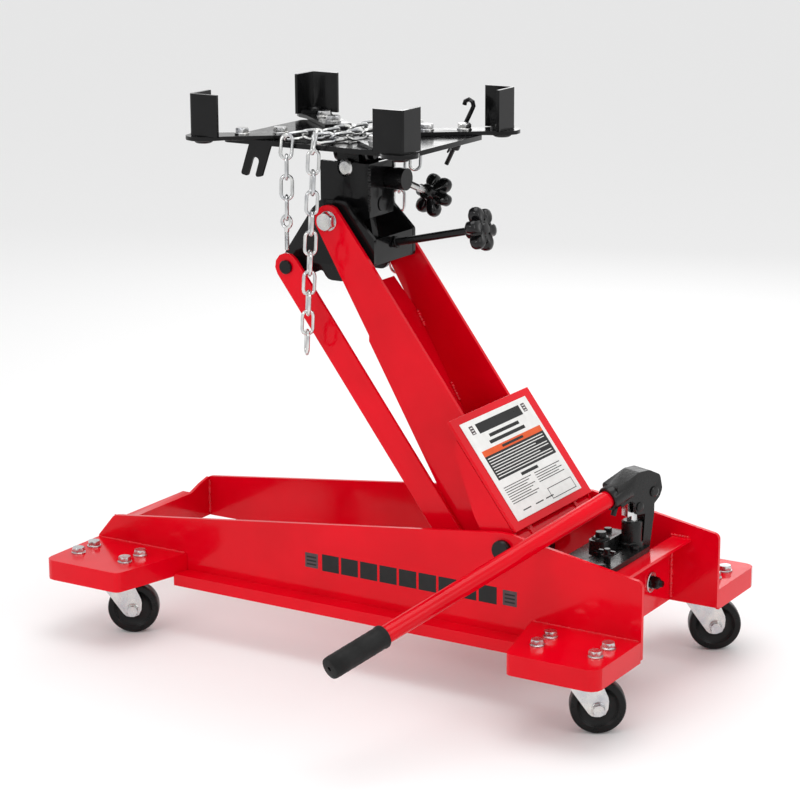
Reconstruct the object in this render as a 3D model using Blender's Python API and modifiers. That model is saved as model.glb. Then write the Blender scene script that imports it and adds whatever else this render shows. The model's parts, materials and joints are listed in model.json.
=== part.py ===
"""Low-lift transmission jack, standing raised.

Metres, +Z up. +X runs towards the pump end and -Y is the side the handle reaches over.
The drawing below is in millimetres from the pump end of the rails, the middle line and the floor;
place() moves it so that zero is the middle of the bounding box on the floor.
"""

from math import atan2, ceil, cos, hypot, pi, radians, sin

import bmesh
import bpy
from mathutils import Matrix, Vector

MM = 0.001
SHIFT_X = 455.3
SHIFT_Y = 110.3
GAP = 0.3

# base frame
LENGTH = 910.6
RAIL_OUT = 125.0
RAIL_T = 6.0
RAIL_LOW = 93.0
BRACKET_Z = 119.0
BRACKET_OUT = 255.0
SKIRT = 30.0
# lift linkage: arm pivot A on the frame, head pivot B, link pivots C on the head and D on the frame
A = (-211.0, 213.0)
B = (-526.0, 629.5)
REACH = (-64.3, -70.3)
C = (B[0] + REACH[0], B[1] + REACH[1])
D = (A[0] + REACH[0], A[1] + REACH[1])
# saddle
MID_X = -526.0
SADDLE_Z = 741.0
TILT_Y = (-521.0, 700.0)
TILT_X_Z = 716.0
NUT = (-494.5, 0.0, 585.6)
HOOK_Y = 117.0
TRUNNION = (-464.5, 20.0, 682.0)
LEVEL_WAY = (0.974, 0.0, 0.226)
SIDE_WAY = (0.184, 0.895, -0.406)
# saddle arms: name, which way along X and Y each one points, and its angle from X
SADDLE_ARMS = (
    ("front_near", -1, -1, radians(39.0)),
    ("rear_near", 1, -1, radians(40.5)),
    ("rear_far", 1, 1, radians(36.9)),
    ("front_far", -1, 1, radians(41.5)),
)
POST_REACH = 212.0
BOLT_REACH = (104.0, 158.0)
SADDLE_ARM_HALF = 20.0
POST_HEIGHT = 59.0
POST_LEG = 47.0
POST_T = 4.5
SADDLE_HALF_X = 154.0
SADDLE_HALF_Y = 103.0
# chains: the x values that each one meets, then its near and far ends' heights
CHAIN_R = 5.5
CHAIN_Y = 111.5
CHAINS = (
    ("chain_long", (-537, -521, -503, -492, -490, -489), 448, 655),
    ("chain_short", (-568, -566, -547, -532, -521, -517), 590, 520),
)
# casters
WHEEL_R = 38.0
TRAIL = 34.0
TRAIL_DIR = radians(31.4)
CASTER_X = (-842.0, -70.0)
CASTER_Y = 187.0
# hydraulic unit and pump
STUD_Y = 54.0
PUMP = (-90.0, 25.0)
PUMP_DIR = radians(70.0)
HANDLE_DROP = radians(15.48)
HANDLE_TOP = 286.6
HANDLE_LENGTH = 512.0


def start():
    for item in list(bpy.data.objects):
        bpy.data.objects.remove(item)
    group = bpy.data.collections.new("transmission_jack")
    bpy.context.scene.collection.children.link(group)
    return group


GROUP = start()


def material(name, colour, metal, rough):
    made = bpy.data.materials.new(name)
    made.use_nodes = True
    shader = made.node_tree.nodes["Principled BSDF"]
    shader.inputs["Base Color"].default_value = (*colour, 1.0)
    shader.inputs["Metallic"].default_value = metal
    shader.inputs["Roughness"].default_value = rough
    return made


PAINTS = {
    "red": ((0.62, 0.004, 0.012), 0.0, 0.25),
    "black": ((0.012, 0.012, 0.013), 0.0, 0.3),
    "zinc": ((0.72, 0.72, 0.70), 1.0, 0.3),
    "rubber": ((0.02, 0.02, 0.02), 0.0, 0.75),
    "label": ((0.85, 0.85, 0.83), 0.0, 0.5),
}


def place(x, y, z):
    return Vector(((x + SHIFT_X) * MM, (y + SHIFT_Y) * MM, z * MM))


def frame_matrix(origin, first, second, third):
    """The matrix that takes a shape drawn in metres along three directions to its place."""
    matrix = Matrix((first, second, third)).transposed().to_4x4()
    matrix.translation = place(*origin)
    return matrix


def along_matrix(origin, direction):
    """The matrix that stands a shape drawn up +Z along a direction."""
    axis = Vector(direction).normalized()
    side = Vector((1, 0, 0)) if abs(axis.z) > 0.99 else axis.orthogonal().normalized()
    return frame_matrix(origin, side, axis.cross(side), axis)


def keep(name, work, matrix, paint):
    """Turns a bmesh, moved by a matrix, into an object of the part with its own paint."""
    bmesh.ops.remove_doubles(work, verts=work.verts, dist=0.000002)
    bmesh.ops.transform(work, matrix=matrix, verts=work.verts)
    bmesh.ops.recalc_face_normals(work, faces=work.faces)
    mesh = bpy.data.meshes.new(name)
    work.to_mesh(mesh)
    work.free()
    mesh.materials.append(material(name + "_" + paint, *PAINTS[paint]))
    made = bpy.data.objects.new(name, mesh)
    GROUP.objects.link(made)
    return made


def settle(name, data, matrix, paint, step=None):
    """Reads a curve, or a profile with a Screw step, as a welded mesh object."""
    source = bpy.data.objects.new(name + "_source", data)
    GROUP.objects.link(source)
    if step:
        screw = source.modifiers.new("turn", "SCREW")
        screw.steps = step
        screw.render_steps = step
        screw.use_merge_vertices = True
        screw.merge_threshold = 0.000002
    bpy.context.view_layer.update()
    graph = bpy.context.evaluated_depsgraph_get()
    mesh = bpy.data.meshes.new_from_object(source.evaluated_get(graph))
    bpy.data.objects.remove(source)
    work = bmesh.new()
    work.from_mesh(mesh)
    bmesh.ops.remove_doubles(work, verts=work.verts, dist=0.000002)
    if step:
        bmesh.ops.holes_fill(work, edges=[edge for edge in work.edges if edge.is_boundary])
    return keep(name, work, matrix, paint)


def plate(name, outline, matrix, low, high, paint="red"):
    """A filled flat outline with a thickness; low and high are measured along the matrix's third axis."""
    curve = bpy.data.curves.new(name, "CURVE")
    curve.dimensions = "2D"
    curve.fill_mode = "BOTH"
    curve.extrude = (high - low) / 2 * MM
    spline = curve.splines.new("POLY")
    spline.points.add(len(outline) - 1)
    for point, (u, v) in zip(spline.points, outline):
        point.co = (u * MM, v * MM, 0, 1)
    spline.use_cyclic_u = True
    middle = Matrix.Translation((0, 0, (low + high) / 2 * MM))
    return settle(name, curve, matrix @ middle, paint)


def prism(name, outline, axis, low, high, paint="red"):
    """An outline swept along an axis; it is (x, z) for y, (x, y) for z and (y, z) for x."""
    x, y, z = (1, 0, 0), (0, 1, 0), (0, 0, 1)
    first, second, third = {"y": (x, z, y), "z": (x, y, z), "x": (y, z, x)}[axis]
    return plate(name, outline, frame_matrix((0, 0, 0), first, second, third), low, high, paint)


def frame_prism(name, outline, origin, along, up, low, high, paint="red"):
    """An outline in the plane of two directions, swept along their cross product."""
    first = Vector(along).normalized()
    second = Vector(up).normalized()
    return plate(name, outline, frame_matrix(origin, first, second, first.cross(second)), low, high, paint)


def box(name, x, y, z, paint="red"):
    work = bmesh.new()
    bmesh.ops.create_cube(work, size=1.0)
    size = Vector((x[1] - x[0], y[1] - y[0], z[1] - z[0])) * MM
    bmesh.ops.scale(work, vec=size, verts=work.verts)
    middle = place((x[0] + x[1]) / 2, (y[0] + y[1]) / 2, (z[0] + z[1]) / 2)
    return keep(name, work, Matrix.Translation(middle), paint)


def turned(name, profile, origin, direction, sides=16, paint="zinc"):
    """A (radius, height) profile turned about the direction through the origin."""
    mesh = bpy.data.meshes.new(name + "_profile")
    points = [(radius * MM, 0, height * MM) for radius, height in profile]
    mesh.from_pydata(points, [(i, i + 1) for i in range(len(points) - 1)], [])
    return settle(name, mesh, along_matrix(origin, direction), paint, sides)


def rod(name, start_point, end_point, radius, sides=16, paint="zinc", phase=0.0):
    way = Vector(end_point) - Vector(start_point)
    work = bmesh.new()
    bmesh.ops.create_cone(
        work,
        cap_ends=True,
        segments=sides,
        radius1=radius * MM,
        radius2=radius * MM,
        depth=way.length * MM,
        matrix=Matrix.Translation((0, 0, way.length / 2 * MM)) @ Matrix.Rotation(phase, 4, "Z"),
    )
    return keep(name, work, along_matrix(start_point, way), paint)


def disc(name, x, y, z, radius, axis, paint="zinc", sides=16):
    """A cylinder along an axis; the value for that axis is its (low, high)."""
    if axis == "x":
        return rod(name, (x[0], y, z), (x[1], y, z), radius, sides, paint)
    if axis == "y":
        return rod(name, (x, y[0], z), (x, y[1], z), radius, sides, paint)
    return rod(name, (x, y, z[0]), (x, y, z[1]), radius, sides, paint)


def hexagon(name, centre, direction, low, high, flats, paint="zinc", phase=0.0):
    way = Vector(direction).normalized()
    first = Vector(centre) + way * low
    return rod(name, first, first + way * (high - low), flats / 2 / cos(radians(30)), 6, paint, phase)


def wire(name, points, radius, paint):
    """A round bar or a hanging chain through the points."""
    curve = bpy.data.curves.new(name, "CURVE")
    curve.dimensions = "3D"
    curve.bevel_depth = radius * MM
    curve.bevel_resolution = 2
    curve.use_fill_caps = True
    spline = curve.splines.new("POLY")
    spline.points.add(len(points) - 1)
    for point, spot in zip(spline.points, points):
        point.co = (*place(*spot), 1)
    return settle(name, curve, Matrix.Identity(4), paint)


def rounded(points, radii, step=30.0):
    """The outline with each corner turned into an arc of its radius (0 keeps it sharp)."""
    made = []
    count = len(points)
    for i, (corner, radius) in enumerate(zip(points, radii)):
        if radius <= 0:
            made.append(corner)
            continue
        here = Vector(corner)
        back = (Vector(points[i - 1]) - here).normalized()
        ahead = (Vector(points[(i + 1) % count]) - here).normalized()
        half = back.angle(ahead) / 2
        reach = radius / (sin(half) / cos(half))
        centre = here + (back + ahead).normalized() * (radius / sin(half))
        first = here + back * reach - centre
        last = here + ahead * reach - centre
        sweep = atan2(first.x * last.y - first.y * last.x, first.dot(last))
        pieces = max(1, ceil(abs(sweep) / radians(step)))
        for k in range(pieces + 1):
            turn = sweep * k / pieces
            made.append(
                (
                    centre.x + first.x * cos(turn) - first.y * sin(turn),
                    centre.y + first.x * sin(turn) + first.y * cos(turn),
                )
            )
    return made


def arc(centre, radius, start_angle, end_angle, pieces):
    return [
        (
            centre[0] + radius * cos(radians(start_angle + (end_angle - start_angle) * i / pieces)),
            centre[1] + radius * sin(radians(start_angle + (end_angle - start_angle) * i / pieces)),
        )
        for i in range(pieces + 1)
    ]


def strap(first, second, first_r, second_r, pieces=6):
    """The outline round two circles, for links and levers."""
    way = Vector(second) - Vector(first)
    turn = atan2(way.y, way.x) * 180 / pi
    lean = 0.0
    if way.length:
        lean = atan2(first_r - second_r, way.length) * 180 / pi
    return arc(first, first_r, turn + 90 - lean, turn + 270 + lean, pieces) + arc(
        second, second_r, turn - 90 + lean, turn + 90 - lean, pieces
    )


def combine(target, tool, kind):
    step = target.modifiers.new(kind, "BOOLEAN")
    step.operation = kind
    step.solver = "EXACT"
    step.object = tool
    bpy.context.view_layer.update()
    graph = bpy.context.evaluated_depsgraph_get()
    mesh = bpy.data.meshes.new_from_object(target.evaluated_get(graph))
    target.modifiers.clear()
    paint = target.data.materials[0]
    target.data = mesh
    mesh.materials.clear()
    mesh.materials.append(paint)
    for face in mesh.polygons:
        face.material_index = 0
    bpy.data.objects.remove(tool)


def join(target, *tools):
    for tool in tools:
        combine(target, tool, "UNION")
    return target


def cut(target, *tools):
    for tool in tools:
        combine(target, tool, "DIFFERENCE")
    return target


# ---------------------------------------------------------------- base frame


def build_rail(name, side):
    web = rounded(
        [(0, RAIL_LOW), (0, 201.5), (-207.5, 237.5), (-880, 157), (-LENGTH, 121), (-LENGTH, RAIL_LOW)],
        [0, 9, 60, 12, 6, 0],
        20,
    )
    inner = RAIL_OUT - RAIL_T
    rail = prism(name, web, "y", min(side * inner, side * RAIL_OUT), max(side * inner, side * RAIL_OUT))
    shelf = [(-744.4, side * 124), (-750.8, side * 152), (-159.4, side * 152), (-166.0, side * 124)]
    join(rail, prism("shelf", shelf, "z", 89.2, 93.7))
    lip = [(-750.0, side * 147.5), (-750.8, side * 152), (-159.4, side * 152), (-160.4, side * 147.5)]
    join(rail, prism("lip", lip, "z", 76.0, 91.0))
    cut(rail, disc("hole", A[0], (side * 110, side * 130), A[1], 12.5, "y", sides=20))
    return rail


def build_bracket(name, end, side):
    outer_x = -LENGTH if end == "front" else 0.0
    back = 1 if end == "front" else -1
    edge = side * (RAIL_OUT + GAP)
    far = side * BRACKET_OUT
    corners = [
        (outer_x, edge),
        (outer_x, far),
        (outer_x + back * 134.6, far),
        (outer_x + back * 165.6, edge),
    ]
    plate = prism(name, rounded(corners, [0, 16, 10, 0]), "z", BRACKET_Z - SKIRT, BRACKET_Z)
    inside = [
        (outer_x + back * 5, side * 110),
        (outer_x + back * 5, far - side * 5),
        (outer_x + back * 131, far - side * 5),
        (outer_x + back * 164, side * 110),
    ]
    cut(plate, prism("inside", rounded(inside, [0, 11, 7, 0]), "z", BRACKET_Z - SKIRT - 5, BRACKET_Z - 5))
    return plate


def bolt_spots(end):
    x = CASTER_X[0] if end == "front" else CASTER_X[1]
    return [(x + dx, dy) for dx in (-43.0, 43.0) for dy in (-18.5, 18.5)]


def build_caster(tag, end, side):
    """The bracket's holes, the bolted top plate, the fork that swivels and the wheel."""
    x = CASTER_X[0] if end == "front" else CASTER_X[1]
    y = side * CASTER_Y
    bracket = build_bracket("bracket_" + tag, end, side)
    top = BRACKET_Z - 5 - GAP
    plate = prism(
        "caster_plate_" + tag,
        rounded([(x - 54, y - 30), (x + 54, y - 30), (x + 54, y + 30), (x - 54, y + 30)], [8] * 4, 45),
        "z",
        top - 3.5,
        top,
        "zinc",
    )
    join(plate, turned("race", [(28, 0), (30, 6)], (x, y, top - 8.5), (0, 0, 1), 16, "zinc"))
    for bx, dy in bolt_spots(end):
        cut(bracket, disc("hole", bx, y + dy, (100, 130), 5.5, "z", sides=8))
        bolt = turned(
            "bolt",
            [(5, 0), (5, 7.2), (9.6, 7.2), (9.6, 9), (7.8, 9), (7.8, 15)],
            (bx, y + dy, top - 1.5),
            (0, 0, 1),
            8,
            "zinc",
        )
        join(plate, bolt)
    ahead = Vector((cos(TRAIL_DIR), sin(TRAIL_DIR), 0))
    low = top - 9
    axle = Vector((x, y, WHEEL_R)) + ahead * TRAIL
    across = Vector((-sin(TRAIL_DIR), cos(TRAIL_DIR), 0))
    fork = turned("caster_fork_" + tag, [(22, 0), (26, 5)], (x, y, low - 5), (0, 0, 1), 16, "zinc")
    crown = [(-20.5, -19.4), (26.5, -19.4), (26.5, 19.4), (-20.5, 19.4)]
    join(fork, frame_prism("crown", crown, (x, y, low - 7.5), ahead, across, 0, 4, "zinc"))
    leg = rounded(
        [(-20, low - 4), (26, low - 4), (48, 52), (46, 27), (24, 27), (-14, low - 24)],
        [3, 6, 12, 12, 12, 8],
        45,
    )
    for reach in (-1, 1):
        plane = (x, y, 0)
        near, far = sorted((reach * 16.0, reach * 19.0))
        join(fork, frame_prism("leg", leg, plane, ahead, (0, 0, 1), near, far, "zinc"))
    half = across * 24
    join(fork, rod("axle", axle - half, axle + half, 5.0, 12, "zinc"))
    join(fork, hexagon("nut", axle, -across, 18.9, 26.0, 14, "zinc"))
    join(fork, hexagon("head", axle, across, 18.9, 25.0, 14, "zinc"))
    wheel = turned(
        "wheel_" + tag,
        [
            (11, -14), (11, -11), (25, -10), (26, -12.5), (35, -12.5), (38, -9),
            (38, 9), (35, 12.5), (26, 12.5), (25, 10), (11, 11), (11, 14),
        ],
        axle,
        across,
        20,
        "rubber",
    )
    return bracket, plate, fork, wheel


def build_frame():
    for tag, side in (("near", -1), ("far", 1)):
        build_rail("rail_" + tag, side)
    inner = RAIL_OUT - RAIL_T - GAP
    rear = rounded(
        [(-78, 93), (-73, 93), (-73, 185), (-42, 185), (-42, 190), (-78, 190)],
        [0, 0, 4, 0, 0, 9],
        30,
    )
    cross = prism("rear_cross", rear, "y", -inner, inner)
    for y in (-STUD_Y, STUD_Y):
        cut(cross, disc("hole", (-90, -60), y, 138.5, 8.5, "x", sides=16))
    front = [
        (-inner, 93), (inner, 93), (inner, 156), (95, 150), (72, 141), (-72, 141), (-95, 150), (-inner, 156),
    ]
    cross = prism("front_cross", front, "x", -884, -879)
    join(cross, box("flange", (-898, -883), (-74, 74), (136.2, 141)))
    pin = disc("arm_pin", A[0], (-133, 133), A[1], 12.0, "y", "black", 20)
    for side in (-1, 1):
        cap = [(14.5, 0), (14.5, 6), (12.5, 8.5)]
        join(pin, turned("cap", cap, (A[0], side * 125.4, A[1]), (0, side, 0), 20, "black"))
    for tag, side in (("near", -1), ("far", 1)):
        turned(
            "link_stud_" + tag,
            [(17, 0), (17, 38), (7, 38), (7, 44.8), (11, 44.8), (11, 47.5)],
            (D[0], side * 118.7, D[1]),
            (0, -side, 0),
            20,
            "black",
        )
    for end in ("front", "rear"):
        for tag, side in (("near", -1), ("far", 1)):
            parts = build_caster(end + "_" + tag, end, side)
            wheel = parts[3]
            x = CASTER_X[0] if end == "front" else CASTER_X[1]
            ahead = Vector((cos(TRAIL_DIR), sin(TRAIL_DIR), 0))
            across = Vector((-sin(TRAIL_DIR), cos(TRAIL_DIR), 0))
            axle = Vector((x, side * CASTER_Y, WHEEL_R)) + ahead * TRAIL
            cut(wheel, rod("bore", axle - across * 20, axle + across * 20, 5.4, 12))


# ---------------------------------------------------------------- lift arm and link

ALONG = Vector((A[0] - B[0], A[1] - B[1])).normalized()
OVER = Vector((-ALONG.y, ALONG.x))
if OVER.x < 0:
    OVER = -OVER
ARM_LENGTH = hypot(A[0] - B[0], A[1] - B[1])


def on_arm(t, n):
    """Arm coordinates (down the arm from B, out from its axis) to drawing (x, z)."""
    return (B[0] + ALONG.x * t + OVER.x * n, B[1] + ALONG.y * t + OVER.y * n)


def under(t):
    return -22.0 - 0.132 * t


def build_arm():
    top = [(22.5 * cos(radians(a)), 22.5 * sin(radians(a))) for a in range(250, 90, -20)]
    side_line = [
        (90, 22.5), (330, 20.5), (ARM_LENGTH + 2, 20.5), (ARM_LENGTH + 24, 8), (ARM_LENGTH + 24, -12),
        (ARM_LENGTH + 6, -30), (478, -84), (455, under(455)), (172, under(172) - 2), (166, under(166) + 2),
    ]
    outline = [on_arm(t, n) for t, n in top + side_line]
    for tag, side in (("near", -1), ("far", 1)):
        low, high = sorted((side * 63.0, side * 69.0))
        plate = prism("arm_plate_" + tag, outline, "y", low, high)
        cut(plate, disc("hole", B[0], (low - 5, high + 5), B[1], 8.4, "y", sides=20))
        cut(plate, disc("hole", A[0], (low - 5, high + 5), A[1], 19.3, "y", sides=24))
    web = prism(
        "arm_web",
        [on_arm(t, under(t) + n) for t, n in ((152, 3), (440, 3), (440, 8), (152, 8))],
        "y",
        -62.7,
        62.7,
    )
    slope = Vector((under(440) - under(152)) / 288 * OVER + ALONG).normalized()
    x, z = on_arm(152, under(152))
    outline = [
        (-55, -46), (1, -62.7), (1, 62.7), (-55, 46), (-55, 14), (-20, 14), (-20, -14), (-55, -14),
    ]
    along = (slope.x, 0, slope.y)
    join(web, frame_prism("tongue", outline, (x, 0, z), along, (0, 1, 0), 3, 8))
    cover = [on_arm(t, n) for t, n in ((334, 20.8), (512, 20.8), (512, 25.8), (334, 25.8))]
    prism("arm_cover", cover, "y", -113, 113)
    label = [on_arm(t, n) for t, n in ((345, 26.1), (500, 26.1), (500, 26.7), (345, 26.7))]
    prism("label_plate", label, "y", -96, 92, "label")
    tube = disc("arm_tube", A[0], (-112.6, 112.6), A[1], 19.0, "y", "red", 24)
    crank = [
        (-197, 204), (-206, 194), (-235, 177), (-236, 153), (-240, 143),
        (-251, 142), (-257, 150), (-257, 164), (-229, 216), (-214, 227),
    ]
    join(tube, prism("crank", crank, "y", -9, 9))
    cheek = [
        (362, 20.4), (ARM_LENGTH - 12, 20.4), (ARM_LENGTH + 14, 17), (ARM_LENGTH + 25, 0),
        (ARM_LENGTH + 14, -18), (ARM_LENGTH - 5, -26), (462, -20), (372, 8),
    ]
    for side in (-1, 1):
        low, high = sorted((side * 107.0, side * 112.6))
        join(tube, prism("cheek", [on_arm(t, n) for t, n in cheek], "y", low, high))
    join(tube, disc("roller", -246, (-14, 14), 152, 12.0, "y", "red", 20))
    cut(tube, disc("bore", A[0], (-120, 120), A[1], 12.5, "y", sides=20))
    for tag, side in (("near", -1), ("far", 1)):
        bolt = turned(
            "head_bolt_" + tag,
            [(8, 0), (8, 24)],
            (B[0], side * 46.5, B[1]),
            (0, side, 0),
            20,
            "zinc",
        )
        head = hexagon("head", (B[0], side * 69.3, B[1]), (0, side, 0), 0, 9.0, 24, "zinc", 0.3)
        join(bolt, head)
        join(bolt, turned("face", [(12.2, 8), (10.5, 10.4)], (B[0], side * 69.3, B[1]), (0, side, 0), 18))
    for tag, side in (("near", -1), ("far", 1)):
        low, high = sorted((side * 74.0, side * 80.0))
        link = prism("link_" + tag, strap(D, C, 20, 20), "y", low, high)
        cut(link, disc("hole", C[0], (low - 5, high + 5), C[1], 7.4, "y", sides=16))
        cut(link, disc("hole", D[0], (low - 5, high + 5), D[1], 7.4, "y", sides=16))


# ---------------------------------------------------------------- hydraulic unit and handle

PUMP_U = Vector((-cos(PUMP_DIR), -sin(PUMP_DIR), 0))
PUMP_N = Vector((sin(PUMP_DIR), -cos(PUMP_DIR), 0))
PIN_LIFT = (0.0, 257.0)
PIN_PIVOT = (-27.0, 274.0)


def on_pump(s, w, z):
    """Pump coordinates (towards the handle, across, up) to the drawing."""
    return (PUMP[0] + PUMP_U.x * s + PUMP_N.x * w, PUMP[1] + PUMP_U.y * s + PUMP_N.y * w, z)


def pump_prism(name, outline, low, high, paint="black"):
    """An (s, z) outline swept across the pump's plane."""
    origin = (PUMP[0], PUMP[1], 0)
    return plate(name, outline, frame_matrix(origin, PUMP_U, (0, 0, 1), PUMP_N), low, high, paint)


def build_unit():
    corners = [(-62, 112), (62, 112), (62, 189.7), (-62, 189.7)]
    tank = prism("power_unit", rounded(corners, [16, 16, 5, 5]), "x", -159, -78.3, "black")
    plate = rounded([(-114, -103), (-66, -103), (-66, 38), (-114, 38)], [4] * 4, 45)
    pump = prism("pump_block", plate, "z", 190.3, 198, "black")
    block = rounded([(-131, -30), (-104, -30), (-104, 36), (-131, 36)], [6] * 4, 45)
    join(pump, prism("block", block, "z", 193, 214, "black"))
    join(pump, turned("gland", [(13, 0), (13, 22), (10, 24)], (-118, -14, 193), (0, 0, 1), 16, "black"))
    x, y = PUMP
    barrel = [(17, 0), (17, 6), (14.5, 8), (14.5, 36), (12, 38)]
    join(pump, turned("barrel", barrel, (x, y, 197), (0, 0, 1), 20, "black"))
    lug = [
        (-14, 193), (-18, 246), (-18.5, 274), (-21, 280), (-27, 282.5), (-33, 280), (-35.5, 274), (-35, 240),
        (-28, 193),
    ]
    join(pump, pump_prism("lug", lug, -8, 8))
    for side in (-1, 1):
        stud = turned(
            "stud",
            [(7.5, 0), (7.5, 6.2), (13, 6.2), (13, 8.6), (7, 8.6), (7, 19.5), (6, 21)],
            (-79, side * STUD_Y, 138.5),
            (1, 0, 0),
            18,
            "black",
        )
        join(tank, stud)
    cut(tank, rod("bore", (-165, 0, 147), (-80.5, 0, 147), 11.5, 20))
    cut(pump, rod("plunger bore", (x, y, 203), (x, y, 240), 7.4, 16))
    s, z = PIN_PIVOT
    hole = rod("pivot hole", on_pump(s, -12, z), on_pump(s, 12, z), 5.4, 16)
    cut(pump, hole)
    cut(pump, rod("valve bore", (-84, -62, 188), (-84, -62, 202), 5.4, 16))
    valve = turned(
        "release_valve",
        [(5, 0), (5, 16), (8, 17), (8, 19), (5, 20), (5, 27), (4, 28)],
        (-84, -62, 190.2),
        (0, 0, 1),
        16,
        "black",
    )
    join(valve, box("tommy", (-96, -72), (-64, -60), (212.7, 215.7), "black"))
    ram = disc("ram_rod", (-229, -150), 0, 147, 11.0, "x", "zinc", 20)
    join(ram, turned("pad", [(14, 0), (16, 1.5), (16, 5)], (-233.2, 0, 147), (1, 0, 0), 20, "zinc"))


def build_pump():
    x, y = PUMP
    plunger = disc("pump_plunger", x, y, (206, 250), 7.0, "z", "black", 16)
    eye = rounded([(-9, 243), (14, 243), (14, 267), (-9, 267)], [0, 0, 5, 5], 45)
    join(plunger, pump_prism("eye", eye, -6, 6))
    slot = rounded([(-4.8, 251.8), (9.8, 251.8), (9.8, 262.2), (-4.8, 262.2)], [5.1] * 4, 30)
    cut(plunger, pump_prism("slot", slot, -9, 9))
    body = rounded(
        [
            (34, 262), (15, 269), (8, 262), (6, 246), (-14, 245), (-38, 265), (-43, 276), (-38, 297),
            (-17, 307), (2, 307), (44, 292),
        ],
        [3, 6, 8, 4, 5, 6, 6, 8, 6, 6, 3],
        45,
    )
    socket = pump_prism("handle_socket", body, -15, 15)
    inside = [(-50, 230), (16, 230), (16, 286), (-8, 298), (-29, 296), (-37, 288), (-50, 290)]
    tan = sin(HANDLE_DROP) / cos(HANDLE_DROP)
    mouth = Vector(on_pump(48, 0, HANDLE_TOP - 48 * tan))
    inner = Vector(on_pump(15, 0, HANDLE_TOP - 15 * tan))
    way = mouth - inner
    mouth_profile = [(17.5, 0), (17.5, way.length - 2), (16.5, way.length)]
    join(socket, turned("mouth", mouth_profile, inner, way, 20, "black"))
    cut(socket, rod("mouth bore", inner + way * 0.25, mouth + way * 0.2, 13.0, 24))
    cut(socket, pump_prism("inside", inside, -9.5, 9.5))
    for spot, radius, reach in ((PIN_LIFT, 4.0, 17.5), (PIN_PIVOT, 5.0, 18.0)):
        s, z = spot
        pin = rod("pin", on_pump(s, -reach, z), on_pump(s, reach, z), radius, 16, "black")
        join(socket, pin)
        for side in (-1, 1):
            head = turned(
                "head",
                [(radius + 2.5, 0), (radius + 2.5, 2), (radius, 3)],
                on_pump(spot[0], side * 14.8, spot[1]),
                PUMP_N * side,
                16,
                "black",
            )
            join(socket, head)
    screw_base = Vector(on_pump(32, 0, 260.0))
    join(socket, rod("clamp", screw_base, screw_base + PUMP_U * 4 + Vector((0, 0, -12)), 4, 12, "black"))
    start_point = inner + way * 0.28
    way.normalize()
    first = Vector(on_pump(33, 0, HANDLE_TOP - 33 * tan))
    end = first + way * HANDLE_LENGTH
    grip_start = end - way * 92
    tube_end = end - way * 6
    handle = rod("pump_handle", start_point, tube_end, 12.5, 24, "red")
    cut(handle, rod("hollow", start_point - way * 5, tube_end - way * 20, 10.5, 20))
    grip = turned(
        "handle_grip",
        [(14.5, 0), (15.5, 1.5), (15.5, 7), (15.2, 8), (15.2, 88), (14, 92)],
        grip_start,
        way,
        24,
        "rubber",
    )
    cut(grip, rod("socket", grip_start - way * 4, tube_end + way * GAP, 12.5 + GAP, 24))
    cut(grip, rod("vent", tube_end - way * 2, end + way * 4, 3.0, 10))
    return first, way


# ---------------------------------------------------------------- head


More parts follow.
